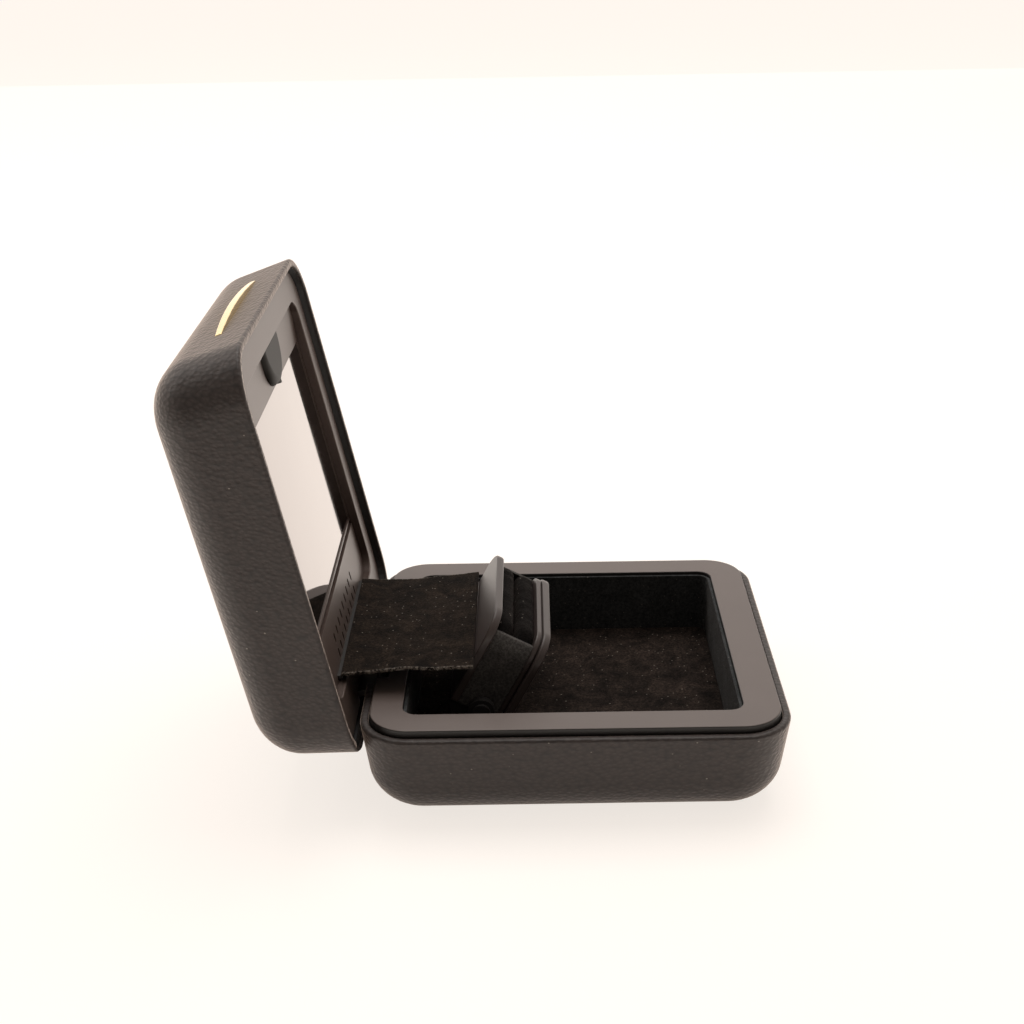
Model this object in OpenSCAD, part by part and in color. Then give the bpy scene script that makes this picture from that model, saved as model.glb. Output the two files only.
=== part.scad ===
// Ring display box: a hinged clamshell in leatherette, with a framed tray in the base,
// a glazed panel with speaker and lamp in the lid, and a ring holder that a cloth flap
// stands up when the lid opens. Modelled open, as it stands on show.
// +X is the front, +Y is to the left of someone behind it, +Z is up.
// The origin is the centre of the underside.

/* [Box] */
// Length from the hinge side to the front, at the rim
box_l = 100; // [96:1:130]
// Width at the rim
box_w = 98; // [94:1:130]
// Height of the base, from its underside to its rim
base_h = 22.5; // [21:0.5:28]
// Height of the lid, from its rim to its outer face
lid_h = 23; // [21.5:0.5:28]
// Radius of the upright corners, seen in plan
corner_r = 12; // [10:0.5:14]
// Radius between the walls and the outer faces
edge_r = 11; // [8:0.5:11.5]
// Slope of the outer walls, in degrees
wall_slope = 7; // [4:0.5:8]
// Thickness of the leatherette wrap
cover_t = 0.8; // [0.6:0.1:1]
// Thickness of the moulded shells
shell_t = 1.1; // [1:0.1:1.4]
// Gap between the two rims when the lid is closed
rim_gap = 0.3; // [0.2:0.05:0.4]
// Radius where the wrap rolls over a rim
roll_r = 0.8; // [0.4:0.1:1]
// Thickness of the steel plate that weighs the base down
weight_t = 1.2; // [0.8:0.1:1.4]

/* [Base frame and tray] */
// Groove between a rim and the frame inside it
groove = 0.5; // [0.4:0.05:0.7]
// Height of the frame above the rim
lip_h = 1.6; // [1.2:0.1:1.7]
// Depth of the frame below the rim
frame_down = 2; // [1.6:0.1:2.2]
// Border from the rear face to the tray opening
border_rear = 10; // [9.5:0.5:14]
// Border from the front face to the tray opening
border_front = 11; // [10:0.5:16]
// Border from a side face to the tray opening
border_side = 10.3; // [10:0.1:14]
// Corner radius of the tray opening
tray_r = 3.5; // [2.5:0.5:5]
// Depth of the tray, from the frame's face to its floor
tray_depth = 16.3; // [15.5:0.1:16.5]
// Wall of the tray tub
tub_t = 1.2; // [1:0.1:1.4]
// Thickness of the suede lining
suede_t = 0.8; // [0.6:0.1:1]
// Thickness of the padded tray floor
floor_t = 1.4; // [1:0.1:1.8]
// Width of the chamfers on the frames and plates
chamfer = 0.4; // [0.2:0.1:0.5]

/* [Hinge] */
// Distance of the hinge axis from the rear face
hinge_in = 3.5; // [3.4:0.1:3.8]
// Depth of the hinge axis below the base rim
hinge_drop = 3.1; // [3:0.1:3.4]
// Angle that the lid opens to
open_angle = 102; // [90:1:104]
// Distance of each hinge from the middle
hinge_y = 13; // [12:0.5:20]
// Length of one hinge along its pin
hinge_w = 14; // [12:0.5:16]
// Radius of the hinge pins
pin_r = 0.75; // [0.6:0.05:0.8]
// Radius of the hinge knuckles
knuckle_r = 1.6; // [1.5:0.05:1.65]
// Radial clearance of every turning pin
pin_clear = 0.05; // [0.03:0.01:0.08]

/* [Lid inside] */
// Depth of the lid frame's face below the lid rim
lid_face = 2; // [2:0.1:2.6]
// Thickness of the lid frame, down to the glass
lid_frame_t = 2.7; // [2.5:0.1:3.2]
// Rear border of the lid frame
lid_rear = 12.5; // [12:0.5:16]
// Front border of the lid frame
lid_front = 10.4; // [10.2:0.2:14]
// Side border of the lid frame
lid_side = 9.7; // [9.7:0.1:14]
// Corner radius of the lid frame's opening
lid_open_r = 5; // [3:0.5:7]
// Width of the bezel's lip along the panel's sides
bezel_lip = 0.7; // [0.5:0.1:1.2]
// Length of the bezel's slope above the panel
bezel_slope = 11; // [9:0.5:13]
// Length of the speaker plate from the hinge side
plate_l = 13.5; // [12:0.5:18]
// Depth of the speaker plate below the lid rim
plate_face = 4; // [3.8:0.1:4.1]
// Number of slots in one speaker row
slot_n = 9; // [5:1:11]
// Distance between slots in a row
slot_pitch = 4.5; // [3.5:0.1:5.5]
// Radius of the lamp housing, a half disc with a rounded edge
lamp_r = 10.5; // [8:0.5:10.5]
// Width of the thumb trim, across the lid's front
trim_w = 48; // [30:1:56]
// Height of the thumb trim at its middle
trim_h = 2.5; // [2:0.1:3.2]
// Height of the thumb trim at its ends
trim_end = 1.3; // [0.8:0.1:1.6]
// How far the thumb trim's middle stands out from the wall
trim_out = 1.5; // [0.8:0.1:1.8]
// Distance of the thumb trim from the lid rim
trim_up = 7; // [5:0.2:9]

/* [Ring holder] */
// Width of the ring holder
holder_w = 43; // [36:0.5:48]
// Thickness of the ring holder
holder_t = 15.5; // [14:0.5:15.5]
// Length of the holder, from its pivot to the top of its plates
holder_h = 22; // [20:0.5:24]
// How much longer the holder's rear plate is than its front plate
rear_rise = 0.8; // [0:0.1:1.5]
// Distance of the pivot from the tray's rear edge
pivot_in = 17.7; // [16:0.1:22]
// Lean of the holder with the lid open, in degrees from upright
holder_lean = 28; // [20:1:35]
// Thickness of the holder's plates
plate_t = 2; // [1.6:0.1:2.2]
// Corner radius of the holder's plates
holder_r = 7; // [4:0.5:8]
// Width of the slit that grips the ring
slit = 1.2; // [0.8:0.1:2]
// Radius of the holder's axle
axle_r = 1.5; // [1.2:0.1:2]
// Width of the cloth flap
flap_w = 54; // [44:1:56]
// Thickness of the cloth flap
flap_t = 0.8; // [0.6:0.1:0.9]
// How far the flap bows upwards between its two edges
flap_crown = 0.4; // [0.2:0.1:0.5]

/* [Hidden] */

eps = 0.01;
far = 200;
fit = 0.15;                // between pieces of one body that drop into each other
move_gap = 0.3;            // between pieces that move past each other
$fn = 96;

// The box
rim_w = cover_t + shell_t;
frame_in = rim_w + groove;
lid_z = base_h + rim_gap;
frame_top = base_h + lip_h;
frame_low = base_h - frame_down;

// The tray
open_l = box_l - border_rear - border_front;
open_w = box_w - 2 * border_side;
open_x = (border_rear - border_front) / 2;
tray_z = frame_top - tray_depth;
tub_z = tray_z - floor_t - tub_t;

// The screw bosses in the corners
boss_in = 8.2;
boss_r = 2.4;
boss_x = box_l / 2 - boss_in;
boss_y = box_w / 2 - boss_in;
post_l = 3.8;
screw_r = 1;
head_r = 1.9;
head_h = 1.3;
seat_t = 4.5;

// The magnets in the front border
magnet_r = 2.4;
magnet_t = 1.8;
magnet_x = box_l / 2 - (frame_in + border_front) / 2;
magnet_y = 28;

// The hinge
hinge_x = -box_l / 2 + hinge_in;
hinge_z = base_h - hinge_drop;
cove_gap = 0.28;
cove_r = cove_gap
  + max(norm([hinge_in, hinge_drop]), norm([hinge_in - frame_in, hinge_drop + lip_h]));
leaf_t = 1;
ear_t = 2;
arm_t = 1.4;
notch_w = hinge_w + 2 * move_gap;
notch_low = hinge_z - knuckle_r - move_gap;

// The lid, as it lies when closed
lid_face_z = lid_z + lid_face;
lid_back_z = lid_face_z + lid_frame_t;
lid_in = rim_w + wall_in(lid_face + lid_frame_t) + fit;
lid_open_l = box_l - lid_rear - lid_front;
lid_open_w = box_w - 2 * lid_side;
lid_open_x = (lid_rear - lid_front) / 2;
lid_open_x0 = -box_l / 2 + lid_rear;
lid_open_x1 = box_l / 2 - lid_front;
glass_z = lid_back_z;
glass_t = 1.2;
glass_in = 0.4;            // from the frame's opening to the glass's edge, at the sides
module_t = 3.5;
board_t = 1.2;
plate_z = lid_z + plate_face;
plate_x1 = lid_open_x0 + plate_l;
panel_gap = 1;           // dark gap between the speaker plate and the panel
lip_z = glass_z - 0.35;    // face of the bezel's lip over the glass
slope_z = lid_face_z + 1.5;
bezel_x0 = plate_x1 + panel_gap;
window_x0 = bezel_x0 + 0.6;
window_x1 = lid_open_x1 - bezel_slope;
window_w = lid_open_w - 2 * fit - 2 * bezel_lip;
glass_x0 = window_x0 - 0.2;
glass_x1 = window_x1 + 3;
glass_w = lid_open_w - 2 * glass_in;
seat_w = 1.5;              // how far plates reach behind the frame that holds them

// What lies behind the panel and the speaker plate
board_w = 46;
board_in = 4;              // from the board's ends to the panel module's
battery_l = 30;
battery_w = 36;
battery_t = 4;
speaker_l = 14;
speaker_w = 40;
speaker_t = 4.5;
speaker_wall = 0.8;
speaker_r = 5;
magnet_boss_t = 2;

// The ring holder, in its own frame: its pivot is the origin and it stands upright
pivot_x = -box_l / 2 + border_rear + pivot_in;
pivot_z = tray_z + holder_t / 2 + 0.45;
swing_gap = 0.15;          // between the plates' lower corners and the round of the core
plate_low = -sqrt(pow(holder_t / 2 + swing_gap, 2) - pow(holder_t / 2, 2));
lip_t = 1.3;               // inner step of the front plate
plate_gap = 0.3;
cushion_z = 9;
cushion_sink = 1.2;
band_t = 0.9;
inner_x0 = -holder_t / 2 + plate_t;
inner_x1 = holder_t / 2 - plate_t - plate_gap - lip_t;
band_y = holder_w / 2 - 0.4;
ear_y = holder_w / 2 + move_gap;
bracket_t = 2;
bracket_foot = 6;
bracket_top = 3.2;

// The flap, from its line on the lid to the holder's rear plate
flap_u = 2;
flap_depth = 2.8;
flap_drop = 10;
flap_start = opened([lid_open_x0 + flap_u, lid_z + flap_depth]);
flap_end = on_holder([-holder_t / 2 - move_gap, holder_h - flap_drop]);
flap_l = norm(flap_end - flap_start);
flap_angle = atan2(flap_end[1] - flap_start[1], flap_end[0] - flap_start[0]);

// How far a wall has leaned inwards at a distance from its rim
function wall_in(d) = d * tan(wall_slope);

// A point of the closed lid, in X and Z, where it stands when the lid is open
function opened(p) = let (x = p[0] - hinge_x, z = p[1] - hinge_z)
  [hinge_x + x * cos(open_angle) - z * sin(open_angle),
   hinge_z + x * sin(open_angle) + z * cos(open_angle)];

// A point of the holder, in X and Z, where it stands when the lid is open
function on_holder(p) =
  [pivot_x + p[0] * cos(holder_lean) + p[1] * sin(holder_lean),
   pivot_z - p[0] * sin(holder_lean) + p[1] * cos(holder_lean)];

// Radius of a corner of the box at an inset from its rim's outline
function corner_at(inset) = max(corner_r - 0.75 * inset, 2);

// Levels of a wall from its rim to its closed end, each [distance from the rim, inset]
function wall_levels(h, t, start, roll) =
  let (steps = 8, turn_in = wall_in(h - edge_r) + edge_r / cos(wall_slope))
  concat([for (a = [0, 30, 60]) if (roll > 0) [roll * (1 - cos(a)), roll * (1.1 - sin(a))]],
    [[start + roll, wall_in(start + roll) + t / cos(wall_slope)]],
    [for (i = [0:steps]) let (a = wall_slope + (90 - wall_slope) * i / steps)
      [h - edge_r + (edge_r - t) * sin(a), turn_in - (edge_r - t) * cos(a)]]);

module rounded_plan(l, w, r) {
  square([l - 2 * r, w], center = true);
  square([l, w - 2 * r], center = true);
  for (x = [-1, 1], y = [-1, 1])
    translate([x * (l / 2 - r), y * (w / 2 - r)]) circle(r);
}

module plan_block(l, w, r, z0, z1, x = 0) {
  translate([x, 0, z0]) linear_extrude(z1 - z0) rounded_plan(l, w, r);
}

// A block with a chamfer round its upper face
module chamfered_block(l, w, r, z0, z1, x = 0) {
  hull() {
    plan_block(l, w, r, z0, z1 - chamfer, x, $fn = 32);
    plan_block(l - 2 * chamfer, w - 2 * chamfer, r - chamfer, z0, z1, x, $fn = 32);
  }
}

// Widens the mouth of an opening by a chamfer, from the depth z0 to the face at z1
module chamfered_mouth(l, w, r, z0, z1, x) {
  hull() {
    plan_block(l, w, r, min(z0, z1), max(z0, z1), x, $fn = 32);
    plan_block(l + 2 * chamfer, w + 2 * chamfer, r + chamfer, min(z1, 2 * z1 - z0),
      max(z1, 2 * z1 - z0), x, $fn = 32);
  }
}

// A half of the box as a solid, inset by t, with its rim at z = 0 and its closed end at z = h
module half_body(h, t, start, roll = 0) {
  hull()
    for (level = wall_levels(h, t, start, roll))
      translate([0, 0, level[0]])
        linear_extrude(eps)
          rounded_plan(box_l - 2 * level[1], box_w - 2 * level[1], corner_at(level[1]), $fn = 32);
}

module mirror_y() {
  for (s = [-1, 1]) scale([1, s, 1]) children();
}

module rim_hole(inset, depth) {
  plan_block(box_l - 2 * inset, box_w - 2 * inset, corner_r - inset, -1, depth);
}

module wrap(h) {
  difference() {
    half_body(h, 0, 0, roll_r);
    half_body(h, cover_t, cover_t);
    rim_hole(rim_w, cover_t + eps);
  }
}

module boss_places() {
  for (x = [-1, 1], y = [-1, 1]) translate([x * boss_x, y * boss_y, 0]) children();
}

module moulded_half(h, frame_back) {
  difference() {
    union() {
      difference() {
        half_body(h, cover_t, cover_t);
        half_body(h, rim_w, 0);
      }
      intersection() {
        half_body(h, cover_t + eps, cover_t);
        boss_places() translate([0, 0, frame_back + post_l]) cylinder(r = boss_r, h = h);
      }
    }
    boss_places() {
      cylinder(r = screw_r + 0.1, h = h);
      translate([0, 0, frame_back + post_l + seat_t]) cylinder(r = head_r + 0.2, h = h);
    }
  }
}

// Screws that come through a shell's bosses into the posts of its frame
module frame_screws(frame_back) {
  boss_places() {
    translate([0, 0, frame_back + 0.8])
      cylinder(r = screw_r, h = post_l + seat_t - 0.8);
    translate([0, 0, frame_back + post_l + seat_t]) cylinder(r = head_r, h = head_h);
  }
}

// Posts under a frame's back, for the screws
module frame_posts(frame_back) {
  boss_places() translate([0, 0, frame_back - eps]) cylinder(r = boss_r - 0.2, h = post_l + eps);
}

module post_holes(frame_back) {
  boss_places()
    translate([0, 0, frame_back + 0.8]) cylinder(r = screw_r, h = post_l);
}

module at_base() {
  translate([0, 0, base_h]) mirror([0, 0, 1]) children();
}

module at_lid() {
  translate([0, 0, lid_z]) children();
}

// Turns what is drawn on the closed lid to where it stands open
module open_lid() {
  translate([hinge_x, 0, hinge_z])
    rotate([0, -open_angle, 0])
      translate([-hinge_x, 0, -hinge_z]) children();
}

module stand_holder() {
  translate([pivot_x, 0, pivot_z]) rotate([0, holder_lean, 0]) children();
}

module along_y(r, y0, y1) {
  translate([0, y1, 0]) rotate([90, 0, 0]) cylinder(r = r, h = y1 - y0);
}

module box_between(a, b) {
  translate(a) cube(b - a);
}

// Room in the rear walls for one hinge and the sweep of its arm
module hinge_notch(x0, x1) {
  mirror_y()
    box_between([x0, hinge_y - notch_w / 2, notch_low], [x1, hinge_y + notch_w / 2, far]);
}

module base_cover() color("#3b3836") {
  difference() {
    at_base() wrap(base_h);
    hinge_notch(-far, hinge_x);
  }
}

module base_shell() color("#2a2827") {
  difference() {
    at_base() moulded_half(base_h, frame_down);
    hinge_notch(-far, hinge_x);
  }
}

module base_frame() color("#5d5450") {
  difference() {
    union() {
      chamfered_block(box_l - 2 * frame_in, box_w - 2 * frame_in, corner_r - frame_in,
        frame_low, frame_top);
      at_base() frame_posts(frame_down);
    }
    plan_block(open_l, open_w, tray_r, -1, far, open_x);
    chamfered_mouth(open_l, open_w, tray_r, frame_top - chamfer, frame_top, open_x);
    hinge_notch(-far, hinge_x + knuckle_r + move_gap);
    at_base() post_holes(frame_down);
    for (y = [-magnet_y, magnet_y])
      translate([magnet_x, y, frame_low - 1]) cylinder(r = magnet_r + 0.05, h = magnet_t + 1);
    leaf_screw_places() cylinder(r = screw_r * 0.8, h = leaf_t + 2.6);
  }
}

module base_magnets() color("#b9bbbd") {
  for (y = [-magnet_y, magnet_y])
    translate([magnet_x, y, frame_low]) cylinder(r = magnet_r, h = magnet_t);
}

module base_screws() color("#8d8f92") {
  at_base() frame_screws(frame_down);
  leaf_screw_places() {
    cylinder(r = screw_r * 0.8, h = leaf_t + 2.4);
    translate([0, 0, -1]) cylinder(r = screw_r * 1.5, h = 1);
  }
}

// Lies on the shell's floor under the tub, so that the box stands with its lid open
module base_weight() color("#8f8f8c") {
  plan_block(open_l - 9, open_w - 9, tray_r, rim_w, rim_w + weight_t);
}

module tray_tub() color("#242120") {
  difference() {
    plan_block(open_l + 2 * tub_t, open_w + 2 * tub_t, tray_r + tub_t, tub_z, frame_low, open_x);
    plan_block(open_l, open_w, tray_r, tub_z + tub_t, far, open_x);
  }
}

module tray_lining() color("#141312") {
  difference() {
    plan_block(open_l - 0.1, open_w - 0.1, tray_r, tub_z + tub_t, frame_top - 0.9, open_x);
    plan_block(open_l - 2 * suede_t, open_w - 2 * suede_t, tray_r - suede_t, 0, far, open_x);
  }
}

module tray_floor() color("#26201e") {
  difference() {
    plan_block(open_l - 2 * suede_t - 0.2, open_w - 2 * suede_t - 0.2, tray_r - suede_t,
      tub_z + tub_t, tray_z, open_x);
    mirror_y()
      box_between([pivot_x - bracket_foot - fit, ear_y - fit, 0],
        [pivot_x + bracket_foot + fit, ear_y + bracket_t + fit, far]);
  }
}

// Two ears that stand on the tub's floor, one at each end of the axle
module holder_bracket() color("#1d1c1b") {
  mirror_y()
    difference() {
      union() {
        translate([pivot_x, 0, pivot_z]) along_y(bracket_top, ear_y, ear_y + bracket_t);
        box_between([pivot_x - bracket_top, ear_y, tub_z + tub_t],
          [pivot_x + bracket_top, ear_y + bracket_t, pivot_z]);
        box_between([pivot_x - bracket_foot, ear_y, tub_z + tub_t],
          [pivot_x + bracket_foot, ear_y + bracket_t, tray_z]);
      }
      translate([pivot_x, 0, pivot_z]) along_y(axle_r, 0, far);
    }
}

module holder_axle() color("#a7a9ab") {
  translate([pivot_x, 0, pivot_z]) {
    along_y(axle_r, -ear_y - bracket_t, ear_y + bracket_t);
    mirror_y() along_y(axle_r + 0.7, ear_y + bracket_t, ear_y + bracket_t + 0.8);
  }
}

// The leaf of each base hinge lies under the frame's rear border
leaf_x1 = open_x - open_l / 2 - tub_t - fit;
module leaf_screw_places() {
  for (s = [-1, 1], t = [-1, 1])
    translate([leaf_x1 - 1.7, s * hinge_y + t * hinge_w / 5, frame_low - leaf_t]) children();
}

module base_hinge_leaves() color("#8b8378") {
  difference() {
    mirror_y() {
      box_between([hinge_x + knuckle_r + move_gap, hinge_y - hinge_w / 2, frame_low - leaf_t],
        [leaf_x1, hinge_y + hinge_w / 2, frame_low]);
      for (t = [-1, 1])
        translate([0, hinge_y + t * (hinge_w - ear_t) / 2, 0]) {
          translate([hinge_x, 0, hinge_z]) along_y(knuckle_r, -ear_t / 2, ear_t / 2);
          box_between([hinge_x, -ear_t / 2, hinge_z - knuckle_r],
            [hinge_x + 2.4, ear_t / 2, frame_low]);
        }
    }
    translate([hinge_x, 0, hinge_z]) along_y(pin_r, -far, far);
    leaf_screw_places() cylinder(r = screw_r * 0.8, h = far);
  }
}

module hinge_pins() color("#c3c4c5") {
  mirror_y()
    translate([hinge_x, 0, hinge_z]) along_y(pin_r, hinge_y - hinge_w / 2, hinge_y + hinge_w / 2);
}

// Clears the lid's rear wall of the base's rear rim and lip, which it swings round.
// It narrows towards the corners, where the rim and the lip curve away to the axis.
lip_r = corner_r - frame_in;
corner_y = box_w / 2 - corner_r;
cove_y = corner_y + sqrt(pow(corner_r, 2) - pow(corner_r - hinge_in, 2));
cove_lip_y = corner_y + sqrt(pow(lip_r, 2) - pow(lip_r - hinge_in + frame_in, 2));
module hinge_cove() {
  half_profile = [[cove_r, corner_y], [hinge_drop + lip_h + cove_gap, cove_lip_y],
    [hinge_drop + cove_gap, cove_y], [0, cove_y]];
  translate([hinge_x, 0, hinge_z])
    rotate([90, 0, 0])
      for (s = [0, 1]) mirror([0, 0, s])
        rotate_extrude() polygon(concat([[0, 0], [cove_r, 0]], half_profile));
}

module lid_cover() color("#3b3836") open_lid() {
  difference() {
    at_lid() wrap(lid_h);
    hinge_cove();
    on_front_wall() trim_block(far);
  }
}

module lid_shell() color("#2a2827") open_lid() {
  difference() {
    at_lid() moulded_half(lid_h, lid_face + lid_frame_t);
    hinge_cove();
  }
}

module lid_arm_room() {
  mirror_y()
    box_between([-far, hinge_y - hinge_w / 2, 0],
      [hinge_x + knuckle_r + move_gap, hinge_y + hinge_w / 2, far]);
}

module lid_frame() color("#4a4341") open_lid() {
  difference() {
    union() {
      plan_block(box_l - 2 * lid_in, box_w - 2 * lid_in, corner_at(lid_in), lid_face_z, lid_back_z);
      at_lid() frame_posts(lid_face + lid_frame_t);
    }
    plan_block(lid_open_l, lid_open_w, lid_open_r, -1, far, lid_open_x);
    chamfered_mouth(lid_open_l, lid_open_w, lid_open_r, lid_face_z + chamfer, lid_face_z,
      lid_open_x);
    lid_arm_room();
    hinge_cove();
    at_lid() post_holes(lid_face + lid_frame_t);
    for (y = [-magnet_y, magnet_y])
      translate([magnet_x, y, lid_back_z - magnet_t])
        cylinder(r = magnet_r + 0.05, h = magnet_t + 1);
    arm_screw_places() translate([0, 0, -2]) cylinder(r = screw_r * 0.8, h = 3);
  }
}

module lid_magnets() color("#b9bbbd") open_lid() {
  for (y = [-magnet_y, magnet_y])
    translate([magnet_x, y, lid_back_z - magnet_t]) cylinder(r = magnet_r, h = magnet_t);
}

// The lid's hinge arms rise from the pins and lie behind the lid frame's rear border
arm_x1 = lid_open_x0 - seat_w - 1;
module arm_screw_places() {
  for (s = [-1, 1], t = [-1, 1])
    translate([(hinge_x + arm_x1) / 2 + 1, s * hinge_y + t * hinge_w / 5, lid_back_z]) children();
}

module lid_screws() color("#8d8f92") open_lid() {
  at_lid() frame_screws(lid_face + lid_frame_t);
  arm_screw_places() {
    translate([0, 0, -1.8]) cylinder(r = screw_r * 0.8, h = 1.8 + arm_t);
    translate([0, 0, arm_t]) cylinder(r = screw_r * 1.5, h = 1);
  }
}

module lid_hinge_leaves() color("#8b8378") open_lid() {
  arm_w = hinge_w - 2 * ear_t - 0.4;
  difference() {
    mirror_y() {
      translate([hinge_x, hinge_y, hinge_z]) along_y(knuckle_r, -arm_w / 2, arm_w / 2);
      box_between([hinge_x - arm_t / 2, hinge_y - arm_w / 2, hinge_z],
        [hinge_x + arm_t / 2, hinge_y + arm_w / 2, lid_back_z + arm_t]);
      box_between([hinge_x - arm_t / 2, hinge_y - arm_w / 2, lid_back_z],
        [arm_x1, hinge_y + arm_w / 2, lid_back_z + arm_t]);
    }
    translate([hinge_x, 0, hinge_z]) along_y(pin_r + pin_clear, -far, far);
    arm_screw_places() translate([0, 0, -1]) cylinder(r = screw_r * 0.8, h = 9);
  }
}

// The trim is a bow: a straight side towards the rim and a curved side away from it.
// It is let into the wrap, and its face bows out from the wall.
trim_in = cover_t / 2;
trim_edge = 0.2;
function bow_r(w, rise) = (w * w / 4 + rise * rise) / (2 * rise);

// The lid's front wall: X runs along the width, Y away from the rim and Z out of the wall
module on_front_wall() {
  translate([box_l / 2 - wall_in(trim_up), 0, lid_z + trim_up])
    rotate([0, -wall_slope, 0]) rotate([90, 0, 90]) children();
}

// A shape as wide as the trim, from a straight side at low to a bow whose middle is at high
module bow_shape(low, high, rise) {
  steps = 32;
  r = bow_r(trim_w, rise);
  polygon(concat([[trim_w / 2, low], [-trim_w / 2, low]],
    [for (i = [0:steps]) let (x = trim_w * (i / steps - 0.5)) [x, high - r + sqrt(r * r - x * x)]]));
}

// The trim's outline, as a block that reaches from inside the wrap to a height over the wall
module trim_block(height) {
  translate([0, 0, -trim_in])
    linear_extrude(trim_in + height) bow_shape(0, trim_h, trim_h - trim_end);
}

module thumb_trim() color("#c9a15a") open_lid() {
  on_front_wall()
    intersection() {
      trim_block(trim_out + 1);
      translate([0, trim_h + 1, 0])
        rotate([90, 0, 0])
          linear_extrude(trim_h + 2) bow_shape(-trim_in, trim_out, trim_out - trim_edge);
    }
}

bezel_w = lid_open_w + 2 * seat_w;
lamp_z = lid_face_z + 0.3;
lamp_edge = 2;
lamp_h = 2.3;

// Half a disc, with its edge rounded towards the lid's opening
module lamp_body(grow = 0) {
  r = lamp_r + grow;
  profile = concat([[0, 0]],
    [for (a = [0:10:90]) [r - lamp_edge + lamp_edge * sin(a), lamp_edge * (1 - cos(a))]],
    [[r, lamp_h + 2 * grow], [0, lamp_h + 2 * grow]]);
  intersection() {
    translate([lid_open_x1, 0, lamp_z - grow]) rotate_extrude() polygon(profile);
    box_between([lid_open_x1 - lamp_r - 1, -far, 0], [lid_open_x1 - fit / 2, far, far]);
  }
}

// The bezel's slope above the panel, which covers the panel's front edge
module slope_body(y) {
  translate([0, y, 0]) rotate([90, 0, 0]) linear_extrude(2 * y)
    polygon([[window_x1, lip_z], [lid_open_x1 - fit, slope_z],
      [lid_open_x1 - fit, glass_z + glass_t], [glass_x1 + fit, glass_z + glass_t],
      [glass_x1 + fit, glass_z], [window_x1, glass_z]]);
}

module panel_bezel() color("#57504d") open_lid() {
  side_y = lid_open_w / 2 - fit;
  difference() {
    union() {
      difference() {
        box_between([bezel_x0, -bezel_w / 2, glass_z],
          [lid_open_x1 + seat_w, bezel_w / 2, glass_z + glass_t]);
        box_between([glass_x0 - fit, -glass_w / 2 - fit, 0],
          [glass_x1 + fit, glass_w / 2 + fit, far]);
        boss_places() cylinder(r = boss_r + fit, h = far);
      }
      intersection() {
        union() {
          slope_body(side_y);
          mirror_y() box_between([bezel_x0, window_w / 2, lip_z], [window_x1 + 1, side_y, glass_z]);
          box_between([bezel_x0, -side_y, lip_z], [window_x0, side_y, glass_z]);
        }
        plan_block(lid_open_l - 2 * fit, lid_open_w - 2 * fit, lid_open_r - fit, 0, far,
          lid_open_x);
      }
    }
    lamp_body(0.05);
  }
}

module panel_glass() color("#cfc2bc") open_lid() {
  box_between([glass_x0, -glass_w / 2, glass_z], [glass_x1, glass_w / 2, glass_z + glass_t]);
}

module panel_module() color("#3a3d40") open_lid() {
  box_between([bezel_x0 + 1, -window_w / 2, glass_z + glass_t],
    [window_x1 + 2, window_w / 2, glass_z + glass_t + module_t]);
}

board_z = glass_z + glass_t + module_t;
module circuit_board() color("#2f6b45") open_lid() {
  box_between([bezel_x0 + board_in, -board_w / 2, board_z],
    [window_x1 - board_in, board_w / 2, board_z + board_t]);
}

module battery() color("#8a9096") open_lid() {
  translate([0, 0, board_z + board_t]) linear_extrude(battery_t)
    translate([(bezel_x0 + window_x1) / 2, 0]) rounded_plan(battery_l, battery_w, battery_t / 2);
}

slot_w = 1.2;
module speaker_slots() {
  for (row = [3, 7.1], i = [0:slot_n - 1])
    translate([lid_open_x0 + row, (i - (slot_n - 1) / 2) * slot_pitch, 0])
      linear_extrude(far) {
        square([1.4, slot_w], center = true);
        for (s = [-1, 1]) translate([s * 0.7, 0]) circle(slot_w / 2, $fn = 24);
      }
}

module speaker_plate() color("#57504d") open_lid() {
  difference() {
    union() {
      intersection() {
        plan_block(lid_open_l - 2 * fit, lid_open_w - 2 * fit, lid_open_r - fit,
          plate_z, lid_back_z + eps, lid_open_x);
        box_between([-far, -far, 0], [plate_x1, far, far]);
      }
      box_between([lid_open_x0 - seat_w, -bezel_w / 2, lid_back_z],
        [plate_x1, bezel_w / 2, lid_back_z + 1]);
    }
    speaker_slots();
  }
}

module speaker() color("#202122") open_lid() {
  translate([lid_open_x0 + plate_l / 2 - 1, 0, lid_back_z + 1]) {
    difference() {
      linear_extrude(speaker_t) rounded_plan(speaker_l, speaker_w, speaker_r);
      translate([0, 0, -1])
        linear_extrude(2)
          rounded_plan(speaker_l - 2 * speaker_wall, speaker_w - 2 * speaker_wall,
            speaker_r - speaker_wall);
    }
    translate([0, 0, speaker_t]) cylinder(r = speaker_r, h = magnet_boss_t);
  }
}

lens_r = 0.8;
module lamp_housing() color("#3d3836") open_lid() {
  difference() {
    lamp_body();
    lens_place() cylinder(r = lens_r + fit, h = 3);
  }
}

// The lens faces the tray from the lamp housing's rounded edge
module lens_place() {
  translate([lid_open_x1 - lamp_r - eps, 0, lamp_z + lamp_h - lens_r - 0.5])
    rotate([0, 90, 0]) children();
}

module lamp_lens() color("#efe9d8") open_lid() {
  lens_place() translate([0, 0, 0.15]) cylinder(r = lens_r, h = 1.6);
}

module flap_clamp() color("#1a1817") open_lid() {
  box_between([lid_open_x0 + 0.3, -flap_w / 2, plate_z - 1.2],
    [lid_open_x0 + flap_u - flap_t / 2 - 0.2, flap_w / 2, plate_z]);
}

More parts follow.
